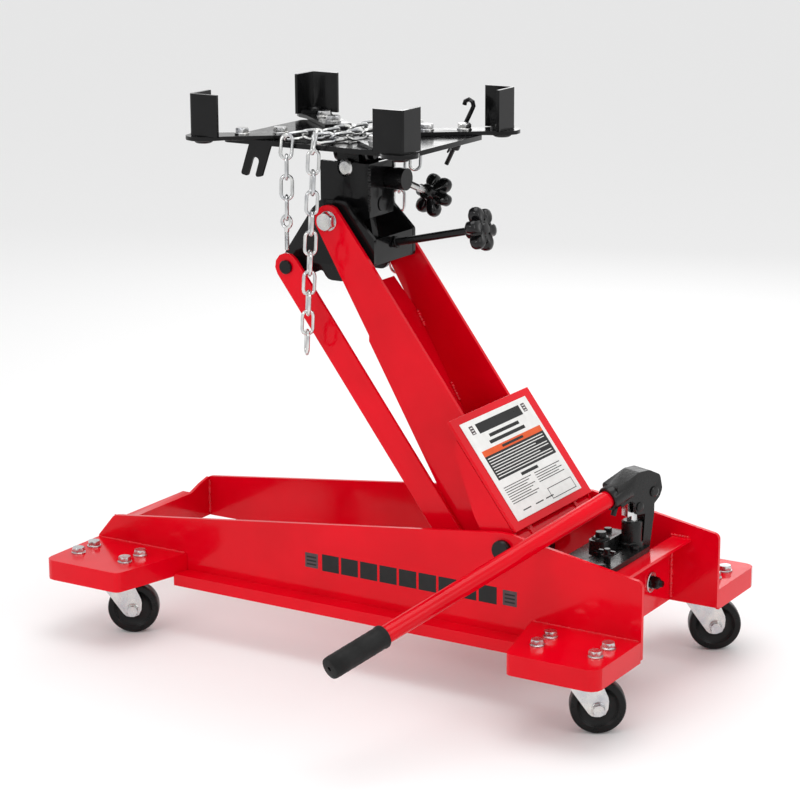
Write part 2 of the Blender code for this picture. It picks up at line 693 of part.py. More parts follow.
def build_head():
    outline = rounded(
        [
            (C[0] - 26, C[1] + 4), (-561, 643), (-546, 657), (-504, 657), (-492, 640), (-458, 607),
            (-458, 568), (-497, 558), (-506, 542), (-536, 542), (-545, 556), (C[0] + 4, C[1] - 22),
        ],
        [18, 12, 8, 8, 10, 6, 6, 8, 12, 12, 5, 18],
        30,
    )
    yoke = prism("head_yoke", outline, "y", -56, -50, "black")
    join(yoke, prism("far side", outline, "y", 50, 56, "black"))
    front_plate = [(-56, 569), (56, 569), (56, 606), (-56, 606)]
    join(yoke, prism("front plate", front_plate, "x", -463.6, -458.6, "black"))
    join(yoke, box("back plate", (-568.3, -562.3), (-55, 55), (585, 622), "black"))
    for side in (-1, 1):
        stud = turned(
            "stud",
            [(10, 0), (10, 18.2), (7, 18.2), (7, 24.8), (10, 24.8), (10, 28), (9, 29)],
            (C[0], side * 55.5, C[1]),
            (0, side, 0),
            20,
            "black",
        )
        join(yoke, stud)
        cut(yoke, disc("hole", B[0], (side * 45, side * 60), B[1], 8.4, "y", sides=20))
    cut(yoke, rod("screw hole", (-480, 0, 589.0), (-450, 0, 595.9), 7.0, 16))
    shell = prism("head_box", [(-562, 586), (-480, 632), (-480, 708), (-562, 708)], "y", -32, 32, "black")
    cut(shell, box("inside", (-575, -485), (-26, 26), (560, 730), "black"))
    for side in (-1, 1):
        low, high = sorted((side * 31, side * 49.7))
        join(shell, box("wing", (-553, -497), (low, high), (639, 645), "black"))
        join(shell, box("wing side", (-553, -547), (low, high), (596, 640), "black"))
        cut(shell, disc("hole", TILT_Y[0], (side * 20, side * 40), TILT_Y[1], 12.5, "y", sides=20))
        cut(shell, disc("hole", B[0], (side * 20, side * 36), B[1], 12.0, "y", sides=20))
    for z, radius, face in ((693, 9, -479.95), (648, 11, -478.5)):
        join(shell, disc("plug", (-481, face), 2, z, radius, "x", "black", 20))
    boss = disc("screw_trunnion", (-479.6, -450), 20, 682, 16.0, "x", "black", 20)
    way = Vector(SIDE_WAY).normalized()
    centre = Vector(TRUNNION)
    cut(boss, rod("hole", centre - way * 2, centre + way * 25, 5.8, 16))
    bolt = disc("tilt_bolt", TILT_Y[0], (-30, 30), TILT_Y[1], 8.0, "y", "zinc", 20)
    for side in (-1, 1):
        base = (TILT_Y[0], side * 27, TILT_Y[1])
        join(bolt, turned("head", [(12.2, 0), (12.2, 3), (9, 5)], base, (0, side, 0), 20))
    side_screw = rod("side_screw", centre + way * 1, centre + way * 74, 5.0, 14, "black")
    star_knob(side_screw, centre + way * 61, way)
    slope = Vector(LEVEL_WAY).normalized()
    base = Vector(NUT)
    long_screw = rod("level_screw", base - slope * 26, base + slope * 178, 5.5, 14, "black")
    for d in (25.6, 39.6):
        join(long_screw, rod("collar", base + slope * d, base + slope * (d + 2.6), 8.5, 12, "black"))
    star_knob(long_screw, base + slope * 160, slope)


def star_knob(screw, centre, way, lobes=6):
    """A hub and a ring of rounded lobes, joined to the screw."""
    way = Vector(way).normalized()
    side = way.orthogonal().normalized()
    other = way.cross(side)
    hub = turned("hub", [(10, 0), (13, 12), (24, 15), (24, 28), (18, 32)], centre, way, 12, "black")
    join(screw, hub)
    for i in range(lobes):
        turn = 2 * pi * i / lobes
        spot = Vector(centre) + (side * cos(turn) + other * sin(turn)) * 24.5
        profile = [(6, 12), (8.6, 14.5), (8.6, 27.5), (6, 30)]
        join(screw, turned("lobe", profile, spot, way, 8, "black"))


# ---------------------------------------------------------------- saddle


def build_saddle():
    block = box("tilt_block", (-539, -503), (-23.5, 23.5), (686, 724), "black")
    lever = strap(TILT_Y, (NUT[0], NUT[2]), 12, 7)
    join(block, prism("lever", lever, "y", -7, 7, "black"))
    join(block, disc("nut", NUT[0], (-15, 15), NUT[2], 12, "y", "black", 16))
    slope = Vector(LEVEL_WAY).normalized()
    base = Vector(NUT)
    cut(block, rod("nut hole", base - slope * 20, base + slope * 20, 7.8, 12))
    cut(block, disc("pivot", TILT_Y[0], (-30, 30), TILT_Y[1], 8.4, "y", sides=20))
    join(block, disc("stub", (-552, -490), 0, TILT_X_Z, 6.0, "x", "black", 16))
    cut(block, disc("pivot again", TILT_Y[0], (-30, 30), TILT_Y[1], 8.4, "y", sides=20))
    low_x, high_x = MID_X - SADDLE_HALF_X, MID_X + SADDLE_HALF_X
    corners = [
        (low_x, -SADDLE_HALF_Y), (high_x, -SADDLE_HALF_Y), (high_x, SADDLE_HALF_Y), (low_x, SADDLE_HALF_Y),
    ]
    base = prism("saddle_base", rounded(corners, [8] * 4, 45), "z", SADDLE_Z - 7, SADDLE_Z, "black")
    for x in (-548, -500):
        lug = rounded([(-18, 705), (18, 705), (22, 736), (-22, 736)], [14, 14, 0, 0], 30)
        join(base, prism("lug", lug, "x", x, x + 5, "black"))
        cut(base, disc("hole", (x - 5, x + 10), 0, TILT_X_Z, 6.4, "x", sides=16))
    tab = rounded(
        [
            (-634, 738), (-597, 738), (-614, 690), (-626, 688),
            (-617, 716), (-628, 717), (-638, 689), (-650, 691),
        ],
        [0, 0, 3, 3, 5, 5, 3, 3],
        45,
    )
    join(base, prism("chain tab", tab, "y", -103, -99, "black"))
    join(base, box("hook tab", (-431, -405), (98, 124), (729, 734.5), "black"))
    cut(base, rod("hook hole", (-402, HOOK_Y, 769), (-447, HOOK_Y, 682), 4.4, 12))
    for tag, sx, sy, angle in SADDLE_ARMS:
        way = Vector((sx * cos(angle), sy * sin(angle)))
        over = Vector((-way.y, way.x))

        def spot(r, w):
            return (MID_X + way.x * r + over.x * w, way.y * r + over.y * w)

        bar = [spot(r, -SADDLE_ARM_HALF) for r in (80, POST_REACH - 26)]
        tip = [spot(POST_REACH + 26 * cos(radians(a)), 26 * sin(radians(a))) for a in range(-105, 106, 30)]
        bar = bar + tip + [spot(r, SADDLE_ARM_HALF) for r in (POST_REACH - 26, 80)]
        arm = prism("saddle_arm_" + tag, bar, "z", SADDLE_Z + GAP, SADDLE_Z + 6, "black")
        for r in BOLT_REACH:
            x, y = spot(r, 0)
            bolt = [(9.5, 0), (9.5, 2), (8.2, 2), (8.2, 8.6)]
            join(arm, turned("bolt", bolt, (x, y, SADDLE_Z + 5.5), (0, 0, 1), 8, "zinc"))
        x, y = spot(POST_REACH, 0)
        cut(arm, disc("hole", x, y, (SADDLE_Z - 5, SADDLE_Z + 12), 6.4, "z", sides=16))
        floor = SADDLE_Z + 6 + GAP
        fold_x = x + sx * 13
        fold_y = y + sy * 15
        post = [
            (fold_x, fold_y),
            (fold_x - sx * POST_LEG, fold_y),
            (fold_x - sx * POST_LEG, fold_y - sy * POST_T),
            (fold_x - sx * POST_T, fold_y - sy * POST_T), (fold_x - sx * POST_T, fold_y - sy * POST_LEG),
            (fold_x, fold_y - sy * POST_LEG),
        ]
        post = rounded(post, [4, 0, 0, 1.5, 0, 0], 45)
        bracket = prism("corner_post_" + tag, post, "z", floor, floor + POST_HEIGHT, "black")
        foot = [
            (fold_x - sx * 1, fold_y - sy * 1), (fold_x - sx * 40, fold_y - sy * 1),
            (fold_x - sx * 26, fold_y - sy * 26), (fold_x - sx * 1, fold_y - sy * 40),
        ]
        join(bracket, prism("foot", rounded(foot, [0, 3, 12, 3], 45), "z", floor, floor + 4, "black"))
        join(bracket, disc("rivet", x, y, (SADDLE_Z - 3, floor + 2), 6.0, "z", "black", 16))
        join(bracket, turned("rivet top", [(10, 0), (10, 2.5), (8, 4)], (x, y, floor + 3.5), (0, 0, 1), 16))
        foot_profile = [(11, 0), (13, 1.5), (13, 4.5)]
        join(bracket, turned("rivet foot", foot_profile, (x, y, SADDLE_Z - 4.8), (0, 0, 1), 16))


def smooth(points, per_span):
    """A Catmull-Rom curve through the points."""
    path = [Vector(point) for point in points]
    made = []
    for i in range(len(path) - 1):
        before = path[max(i - 1, 0)]
        first, second = path[i], path[i + 1]
        after = path[min(i + 2, len(path) - 1)]
        for k in range(per_span):
            t = k / per_span
            made.append(
                0.5
                * (
                    2 * first
                    + (second - before) * t
                    + (2 * before - 5 * first + 4 * second - after) * t * t
                    + (3 * first - before - 3 * second + after) * t * t * t
                )
            )
    made.append(path[-1])
    return made


def chain_route(xs, near_end, far_end):
    """Up from the near end, over the saddle and down on the far side; xs are the x values met on the way."""
    top = SADDLE_Z + CHAIN_R + 0.8
    return smooth(
        [
            (xs[0], -CHAIN_Y, near_end),
            ((xs[0] + xs[1]) / 2, -CHAIN_Y, (near_end + 735) / 2),
            (xs[1], -CHAIN_Y, 735),
            (xs[1], -CHAIN_Y + 2.5, 743.5),
            (xs[1], -CHAIN_Y + 10, top),
            (xs[2], -60, top),
            (xs[3], 0, top),
            (xs[4], 60, top),
            (xs[5], CHAIN_Y - 10, top),
            (xs[5], CHAIN_Y - 2.5, 743.5),
            (xs[5], CHAIN_Y, 735),
            (xs[5] - 4, CHAIN_Y, far_end),
        ],
        3,
    )


def build_hook_and_chains():
    hook = [
        (-412.5, HOOK_Y, 779), (-411, HOOK_Y, 784), (-405, HOOK_Y, 787), (-399, HOOK_Y, 784),
        (-397.5, HOOK_Y, 778), (-402, HOOK_Y, 769), (-442.3, HOOK_Y, 691),
    ]
    hook_wire = wire("chain_hook", hook, 3.4, "black")
    way = (Vector(hook[-1]) - Vector(hook[-2])).normalized()
    spot = Vector(hook[-2]) + way * 52
    nut = turned("nut", [(6.5, 0), (8, 1.5), (8, 8), (5.5, 10)], spot, way, 12, "black")
    join(hook_wire, nut)
    for side in (-1, 1):
        wing = [(2, side * 5), (8, side * 5), (14, side * 15), (6, side * 15)]
        join(hook_wire, frame_prism("wing", wing, spot, way, (0, 1, 0), -1.2, 1.2, "black"))
    for name, xs, near_end, far_end in CHAINS:
        wire(name, chain_route(xs, near_end, far_end), CHAIN_R, "zinc")


# ---------------------------------------------------------------- joints


def pivot(name, spot, pieces, parent=None):
    """An empty on a joint's axis, with the pieces that turn or slide with it."""
    empty = bpy.data.objects.new("joint_" + name, None)
    empty.empty_display_size = 0.03
    GROUP.objects.link(empty)
    empty.location = place(*spot)
    if parent:
        empty.parent = parent
        empty.location -= parent.matrix_world.translation
    bpy.context.view_layer.update()
    for piece in pieces:
        made = bpy.data.objects[piece]
        made.data.transform(Matrix.Translation(-empty.matrix_world.translation))
        made.parent = empty
    return empty


def hang_on_joints():
    corners = [end + "_" + side for end in ("front", "rear") for side in ("near", "far")]
    arm_pieces = ["arm_plate_near", "arm_plate_far", "arm_web", "arm_cover", "label_plate", "arm_tube"]
    arm = pivot("arm_lift", (A[0], 0, A[1]), arm_pieces + ["head_bolt_near", "head_bolt_far"])
    pivot("link_swing", (D[0], 0, D[1]), ["link_near", "link_far"])
    head_pieces = ["head_yoke", "head_box", "screw_trunnion", "tilt_bolt"]
    head = pivot("head_level", (B[0], 0, B[1]), head_pieces, arm)
    tilt = pivot("fore_aft_tilt", (TILT_Y[0], 0, TILT_Y[1]), ["tilt_block"], head)
    saddle_pieces = ["saddle_base", "chain_hook", "chain_long", "chain_short"]
    saddle_pieces += ["saddle_arm_" + corner for corner in corners]
    saddle = pivot("side_tilt", (TILT_Y[0], 0, TILT_X_Z), saddle_pieces, tilt)
    for corner, sx, sy, angle in SADDLE_ARMS:
        spot = (MID_X + sx * POST_REACH * cos(angle), sy * POST_REACH * sin(angle), SADDLE_Z)
        pivot("post_swivel_" + corner, spot, ["corner_post_" + corner], saddle)
        x = CASTER_X[0] if corner.startswith("front") else CASTER_X[1]
        y = sy * CASTER_Y
        fork = pivot("swivel_" + corner, (x, y, 105), ["caster_fork_" + corner])
        axle = (x + TRAIL * cos(TRAIL_DIR), y + TRAIL * sin(TRAIL_DIR), WHEEL_R)
        pivot("roll_" + corner, axle, ["wheel_" + corner], fork)
    pivot("level_screw_turn", NUT, ["level_screw"], head)
    pivot("side_screw_turn", TRUNNION, ["side_screw"], head)
    pivot("ram_stroke", (-229, 0, 147), ["ram_rod"])
    swing = ["handle_socket", "pump_handle", "handle_grip"]
    pivot("pump_swing", on_pump(PIN_PIVOT[0], 0, PIN_PIVOT[1]), swing)
    pivot("plunger_stroke", (*PUMP, 230), ["pump_plunger"])
    pivot("valve_turn", (-84, -62, 210), ["release_valve"])


def finish_shading():
    for item in GROUP.objects:
        if item.type == "MESH":
            item.data.shade_smooth()
            item.data.set_sharp_from_angle(angle=radians(30))


build_frame()
build_arm()
build_unit()
build_pump()
build_head()
build_saddle()
build_hook_and_chains()
hang_on_joints()
finish_shading()
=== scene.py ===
"""Looks for the low-lift transmission jack: rolled edges, welds, bolts, chain links and real finishes.

Every length is in millimetres in the part's drawing (from the pump end of the rails, the middle line and
the floor) until place() puts it in the frame.
"""

import json
from math import ceil, cos, hypot, pi, radians, sin, sqrt, tan

import bmesh
import bpy
from mathutils import Matrix, Vector


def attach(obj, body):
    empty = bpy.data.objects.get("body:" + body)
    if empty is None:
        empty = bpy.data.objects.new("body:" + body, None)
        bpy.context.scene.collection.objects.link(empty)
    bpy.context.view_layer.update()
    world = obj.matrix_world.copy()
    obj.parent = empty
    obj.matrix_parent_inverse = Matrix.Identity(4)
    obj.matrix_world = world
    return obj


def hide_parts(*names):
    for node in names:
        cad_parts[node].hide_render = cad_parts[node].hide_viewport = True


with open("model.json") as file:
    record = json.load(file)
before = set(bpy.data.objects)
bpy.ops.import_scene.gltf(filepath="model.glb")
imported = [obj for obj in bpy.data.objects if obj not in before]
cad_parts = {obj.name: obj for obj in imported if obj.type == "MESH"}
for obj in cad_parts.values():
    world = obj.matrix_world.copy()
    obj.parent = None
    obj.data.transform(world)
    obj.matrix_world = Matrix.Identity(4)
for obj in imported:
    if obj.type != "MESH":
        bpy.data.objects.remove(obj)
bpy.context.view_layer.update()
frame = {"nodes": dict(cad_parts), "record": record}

MM = 0.001
SHIFT_X = 455.3
SHIFT_Y = 110.3

BODY_OF = {
    node: body for body, nodes in frame["record"]["behaviour"]["bodies"].items() for node in nodes
}
CORNERS = ("front_near", "front_far", "rear_near", "rear_far")

# the part's own driving places: pins A and B are (x, z), the others are lengths or points
RAIL_OUT = 125.0
BRACKET_Z = 119.0
A = (-211.0, 213.0)
B = (-526.0, 629.5)
CASTER_X = {"front": -842.0, "rear": -70.0}
CASTER_Y = {"near": -187.0, "far": 187.0}
TRAIL = 34.0
TRAIL_DIR = radians(31.4)
WHEEL_R = 38.0
SADDLE_Z = 741.0
MID_X = -526.0
SADDLE_ARMS = (
    ("front_near", -1, -1, radians(39.0)),
    ("rear_near", 1, -1, radians(40.5)),
    ("rear_far", 1, 1, radians(36.9)),
    ("front_far", -1, 1, radians(41.5)),
)
POST_REACH = 212.0
BOLT_REACH = (104.0, 158.0)
NUT = Vector((-494.5, 0.0, 585.6))
TRUNNION = Vector((-464.5, 20.0, 682.0))
LEVEL_WAY = Vector((0.974, 0.0, 0.226)).normalized()
SIDE_WAY = Vector((0.184, 0.895, -0.406)).normalized()
COVER_TOP = 26.72
PUMP = (-90.0, 25.0)
PUMP_DIR = radians(70.0)
HANDLE_DROP = radians(15.48)
HANDLE_TOP = 286.6
HANDLE_LENGTH = 512.0
HANDLE_START = 33.0

# the scene's own: the links hang 0.9 mm nearer the middle than the part's chains, to clear the rails
CHAIN_Y = 110.6
CHAIN_TOP = SADDLE_Z + 8.4
CHAIN_BEND = 743.5
CHAIN_DROP = 735.0
PRINT_T = 0.12
GRIP_LENGTH = 92.0
BAR_SIDES = 10


def place(x, y, z):
    """The frame's metres for a place in the drawing."""
    return Vector(((x + SHIFT_X) * MM, (y + SHIFT_Y) * MM, z * MM))


# ---------------------------------------------------------------- camera, light and floor

CAMERA_SPOT = (1337.3, -2923.6, 1251.7)
CAMERA_TURN = radians(31.45)
CAMERA_PITCH = radians(14.516)
CAMERA_ROLL = radians(-0.224)
CAMERA_LENS = 110.73


def add_camera():
    ahead = Vector(
        (
            -sin(CAMERA_TURN) * cos(CAMERA_PITCH),
            cos(CAMERA_TURN) * cos(CAMERA_PITCH),
            -sin(CAMERA_PITCH),
        )
    )
    level = Vector((cos(CAMERA_TURN), sin(CAMERA_TURN), 0))
    upright = level.cross(ahead)
    right = level * cos(CAMERA_ROLL) + upright * sin(CAMERA_ROLL)
    up = upright * cos(CAMERA_ROLL) - level * sin(CAMERA_ROLL)
    data = bpy.data.cameras.new("camera")
    data.lens = CAMERA_LENS
    data.sensor_width = 36.0
    data.clip_end = 100.0
    camera = bpy.data.objects.new("camera", data)
    bpy.context.scene.collection.objects.link(camera)
    matrix = Matrix((right, up, -ahead)).transposed().to_4x4()
    matrix.translation = place(*CAMERA_SPOT)
    camera.matrix_world = matrix
    bpy.context.scene.camera = camera


def soft_light(name, spot, target, size, power):
    data = bpy.data.lights.new(name, "AREA")
    data.shape = "RECTANGLE"
    data.size = size[0]
    data.size_y = size[1]
    data.energy = power
    lamp = bpy.data.objects.new(name, data)
    lamp.location = spot
    lamp.rotation_euler = (Vector(target) - Vector(spot)).to_track_quat("-Z", "Y").to_euler()
    bpy.context.scene.collection.objects.link(lamp)


def add_studio():
    world = bpy.data.worlds.new("studio")
    world.use_nodes = True
    background = world.node_tree.nodes["Background"]
    background.inputs["Color"].default_value = (1.0, 1.0, 1.0, 1.0)
    background.inputs["Strength"].default_value = 0.85
    bpy.context.scene.world = world
    bpy.context.scene.view_settings.view_transform = "Standard"
    middle = (0.0, 0.0, 0.35)
    soft_light("top_light", (0.1, 0.1, 2.4), middle, (1.6, 1.6), 16)
    soft_light("front_light", (-0.6, -3.0, 1.9), middle, (1.4, 1.0), 15)
    soft_light("right_light", (2.6, -0.4, 1.5), middle, (1.0, 1.4), 9)
    soft_light("back_light", (-0.8, 2.5, 1.4), middle, (1.6, 1.0), 8)
    mesh = bpy.data.meshes.new("floor")
    work = bmesh.new()
    bmesh.ops.create_grid(work, x_segments=1, y_segments=1, size=40.0)
    work.to_mesh(mesh)
    work.free()
    floor = bpy.data.objects.new("floor", mesh)
    floor.location.z = -0.0006
    bpy.context.scene.collection.objects.link(floor)
    finish = bpy.data.materials.new("pale_floor")
    finish.use_nodes = True
    shader = finish.node_tree.nodes["Principled BSDF"]
    shader.inputs["Base Color"].default_value = (0.93, 0.93, 0.93, 1.0)
    shader.inputs["Roughness"].default_value = 0.75
    shader.inputs["Specular IOR Level"].default_value = 0.2
    mesh.materials.append(finish)


# ---------------------------------------------------------------- materials


class Finish:
    """A Principled material with object-space noise to drive its colour, roughness and bump."""

    def __init__(self, name, metallic=0.0, coat=0.0, coat_rough=0.05, specular=0.5):
        self.made = bpy.data.materials.new(name)
        self.made.use_nodes = True
        self.nodes = self.made.node_tree.nodes
        self.links = self.made.node_tree.links
        self.shader = self.nodes["Principled BSDF"]
        self.shader.inputs["Metallic"].default_value = metallic
        self.shader.inputs["Coat Weight"].default_value = coat
        self.shader.inputs["Coat Roughness"].default_value = coat_rough
        self.shader.inputs["Specular IOR Level"].default_value = specular
        self.place = self.nodes.new("ShaderNodeTexCoord")
        self.height = None

    def noise(self, scale, detail=2.0, rough=0.5, stretch=None):
        node = self.nodes.new("ShaderNodeTexNoise")
        node.inputs["Scale"].default_value = scale
        node.inputs["Detail"].default_value = detail
        node.inputs["Roughness"].default_value = rough
        if stretch:
            mapping = self.nodes.new("ShaderNodeMapping")
            mapping.inputs["Scale"].default_value = stretch
            self.links.new(self.place.outputs["Object"], mapping.inputs["Vector"])
            self.links.new(mapping.outputs["Vector"], node.inputs["Vector"])
        else:
            self.links.new(self.place.outputs["Object"], node.inputs["Vector"])
        return node.outputs["Fac"]

    def ramp(self, value, low, high):
        node = self.nodes.new("ShaderNodeMapRange")
        node.inputs["From Min"].default_value = 0.3
        node.inputs["From Max"].default_value = 0.7
        node.inputs["To Min"].default_value = low
        node.inputs["To Max"].default_value = high
        self.links.new(value, node.inputs["Value"])
        return node.outputs["Result"]

    def specks(self, scale, size):
        """1 in small sparse spots, 0 elsewhere: chips and dust."""
        cells = self.nodes.new("ShaderNodeTexVoronoi")
        cells.inputs["Scale"].default_value = scale
        self.links.new(self.place.outputs["Object"], cells.inputs["Vector"])
        node = self.nodes.new("ShaderNodeMapRange")
        node.inputs["From Min"].default_value = size
        node.inputs["From Max"].default_value = size * 0.6
        self.links.new(cells.outputs["Distance"], node.inputs["Value"])
        return node.outputs["Result"]

    def colour(self, value, first, second):
        node = self.nodes.new("ShaderNodeMix")
        node.data_type = "RGBA"
        node.inputs["A"].default_value = (*first, 1.0)
        node.inputs["B"].default_value = (*second, 1.0)
        self.links.new(value, node.inputs["Factor"])
        return node.outputs["Result"]

    def over(self, value, below, top):
        node = self.nodes.new("ShaderNodeMix")
        node.data_type = "RGBA"
        node.inputs["B"].default_value = (*top, 1.0)
        self.links.new(value, node.inputs["Factor"])
        self.links.new(below, node.inputs["A"])
        return node.outputs["Result"]

    def set_colour(self, value):
        self.links.new(value, self.shader.inputs["Base Color"])

    def set_rough(self, value):
        self.links.new(value, self.shader.inputs["Roughness"])

    def bump(self, value, depth):
        """Adds a layer of bump with this depth in millimetres."""
        node = self.nodes.new("ShaderNodeBump")
        node.inputs["Distance"].default_value = depth * MM
        node.inputs["Strength"].default_value = 1.0
        self.links.new(value, node.inputs["Height"])
        if self.height:
            self.links.new(self.height, node.inputs["Normal"])
        self.height = node.outputs["Normal"]
        self.links.new(self.height, self.shader.inputs["Normal"])


def red_paint():
    made = Finish("red_paint_gloss", coat=0.06, coat_rough=0.03, specular=0.16)
    wide = made.noise(7.0, 3.0)
    tone = made.colour(made.ramp(wide, 0.0, 1.0), (0.78, 0.0, 0.011), (0.62, 0.0, 0.007))
    made.set_colour(made.over(made.specks(95.0, 0.045), tone, (0.42, 0.01, 0.01)))
    made.set_rough(made.ramp(made.noise(40.0, 4.0), 0.09, 0.2))
    made.bump(made.noise(420.0, 2.0), 0.035)
    made.bump(made.noise(14.0, 2.0), 0.25)
    return made.made


def weld_paint():
    made = Finish("red_paint_weld", coat=0.2, coat_rough=0.08, specular=0.35)
    drift = made.ramp(made.noise(150.0), 0.0, 1.0)
    made.set_colour(made.colour(drift, (0.78, 0.001, 0.012), (0.62, 0.0, 0.007)))
    made.set_rough(made.ramp(made.noise(300.0, 3.0), 0.16, 0.3))
    made.bump(made.noise(700.0, 3.0), 0.12)
    return made.made


def black_paint(name="black_paint_gloss", rough=(0.1, 0.22), coat=0.08):
    made = Finish(name, coat=coat, coat_rough=0.05, specular=0.22)
    drift = made.ramp(made.noise(11.0, 3.0), 0.0, 1.0)
    tone = made.colour(drift, (0.003, 0.003, 0.0032), (0.007, 0.007, 0.0075))
    made.set_colour(made.over(made.specks(160.0, 0.05), tone, (0.10, 0.10, 0.10)))
    made.set_rough(made.ramp(made.noise(60.0, 4.0), *rough))
    made.bump(made.noise(520.0, 2.0), 0.04)
    made.bump(made.noise(30.0, 2.0), 0.2)
    return made.made


def cast_black():
    made = Finish("black_cast_iron", coat=0.12, coat_rough=0.1, specular=0.3)
    drift = made.ramp(made.noise(45.0, 4.0), 0.0, 1.0)
    made.set_colour(made.colour(drift, (0.003, 0.003, 0.003), (0.009, 0.009, 0.009)))
    made.set_rough(made.ramp(made.noise(90.0, 4.0), 0.2, 0.38))
    made.bump(made.noise(260.0, 5.0, 0.6), 0.28)
    return made.made


def zinc(name="zinc_plate", tint=((0.70, 0.69, 0.66), (0.50, 0.51, 0.54)), rough=(0.18, 0.36)):
    made = Finish(name, metallic=1.0)
    made.set_colour(made.colour(made.ramp(made.noise(55.0, 4.0), 0.0, 1.0), *tint))
    made.set_rough(made.ramp(made.noise(120.0, 4.0), *rough))
    made.bump(made.noise(600.0, 3.0), 0.03)
    return made.made


def rubber(name, first, second, rough):
    made = Finish(name, specular=0.2)
    made.set_colour(made.colour(made.ramp(made.noise(35.0, 4.0), 0.0, 1.0), first, second))
    made.set_rough(made.ramp(made.noise(80.0, 4.0), *rough))
    made.bump(made.noise(500.0, 3.0), 0.06)
    return made.made


def print_ink(name, first, second):
    made = Finish(name, specular=0.3)
    made.set_colour(made.colour(made.ramp(made.noise(60.0, 3.0), 0.0, 1.0), first, second))
    made.set_rough(made.ramp(made.noise(120.0, 3.0), 0.27, 0.4))
    made.bump(made.noise(300.0, 2.0), 0.01)
    return made.made


RED = red_paint()
WELD = weld_paint()
BLACK = black_paint()
BLACK_MATT = black_paint("black_paint_satin", (0.22, 0.36), 0.05)
CAST = cast_black()
KNOB = black_paint("black_knob_plastic", (0.06, 0.12), 0.25)
ZINC = zinc()
CHAIN = zinc("chain_zinc", ((0.74, 0.74, 0.72), (0.48, 0.49, 0.51)), (0.1, 0.24))
STEEL = zinc("ground_steel", ((0.72, 0.72, 0.72), (0.60, 0.60, 0.61)), (0.12, 0.22))
TYRE = rubber("wheel_black", (0.004, 0.004, 0.004), (0.009, 0.009, 0.009), (0.22, 0.4))
HUB = rubber("hub_plastic", (0.006, 0.006, 0.006), (0.012, 0.012, 0.012), (0.3, 0.45))
GRIP = rubber("grip_foam", (0.006, 0.006, 0.006), (0.014, 0.014, 0.014), (0.5, 0.7))
WHITE_INK = print_ink("label_white", (0.86, 0.86, 0.84), (0.78, 0.78, 0.76))
BLACK_INK = print_ink("label_black", (0.004, 0.004, 0.004), (0.009, 0.009, 0.009))
ORANGE_INK = print_ink("label_orange", (0.80, 0.10, 0.01), (0.70, 0.085, 0.008))
GREY_INK = print_ink("label_grey", (0.085, 0.06, 0.065), (0.06, 0.04, 0.045))


# ---------------------------------------------------------------- piece builders


def add_piece(name, work, paint, body, bevel=0.0, segments=2, smooth_angle=35.0, slot=None):
    """Turns a bmesh in frame metres into a piece that rides on a body."""
    bmesh.ops.recalc_face_normals(work, faces=work.faces)
    mesh = bpy.data.meshes.new(name)
    work.to_mesh(mesh)
    work.free()
    for item in paint if isinstance(paint, (list, tuple)) else [paint]:
        mesh.materials.append(item)
    mesh.shade_smooth()
    mesh.set_sharp_from_angle(angle=radians(smooth_angle))
    piece = bpy.data.objects.new(name, mesh)
    bpy.context.scene.collection.objects.link(piece)
    if bevel:
        edges = piece.modifiers.new("edges", "BEVEL")
        edges.width = bevel * MM
        edges.segments = segments
        edges.limit_method = "ANGLE"
        edges.angle_limit = radians(smooth_angle)
        edges.harden_normals = True
    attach(piece, body)
    return piece


def refined(node, paint, bevel=1.0, segments=2):
    """The CAD node's own shape with rolled edges, standing in for the node."""
    work = bmesh.new()
    work.from_mesh(frame["nodes"][node].data)
    bmesh.ops.remove_doubles(work, verts=work.verts, dist=0.00001)
    bmesh.ops.dissolve_limit(work, angle_limit=radians(0.8), verts=work.verts, edges=work.edges)
    piece = add_piece(node + "_finish", work, paint, BODY_OF[node], bevel, segments)
    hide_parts(node)
    return piece


def along_matrix(origin, direction):
    """Frame placement whose z runs along the direction."""
    axis = Vector(direction).normalized()
    side = Vector((1, 0, 0)) if abs(axis.z) > 0.99 else axis.orthogonal().normalized()
    matrix = Matrix((side, axis.cross(side), axis)).transposed().to_4x4()
    matrix.translation = place(*origin)
    return matrix


def ring_stack(work, rings, matrix, closed=False):
    """Joins rings of (x, y, z) points in millimetres into a skin, capped or closed end to end."""
    if closed:
        rings = [*rings, rings[0]]
    made = [[work.verts.new(matrix @ (Vector(point) * MM)) for point in ring] for ring in rings]
    count = len(made[0])
    for first, second in zip(made, made[1:]):
        for i in range(count):
            j = (i + 1) % count
            work.faces.new((first[i], first[j], second[j], second[i]))
    if closed:
        bmesh.ops.remove_doubles(work, verts=made[0] + made[-1], dist=0.0000001)
    else:
        work.faces.new(made[0][::-1])
        work.faces.new(made[-1])


def circle(radius, height, count, wave=None):
    """A ring of points; wave(radius, turn) gives the reach at each turn where it isn't round."""
    points = []
    for i in range(count):
        turn = 2 * pi * i / count
        reach = radius if wave is None else wave(radius, turn)
        points.append((reach * cos(turn), reach * sin(turn), height))
    return points


def turn_shape(work, profile, origin, direction, count, closed=False):
    """Turns a profile of (radius, height) about a direction."""
    rings = [circle(radius, height, count) for radius, height in profile]
    ring_stack(work, rings, along_matrix(origin, direction), closed)


def turned(name, profile, origin, direction, paint, body, count, closed=False, **options):
    work = bmesh.new()
    turn_shape(work, profile, origin, direction, count, closed)
    return add_piece(name, work, paint, body, **options)


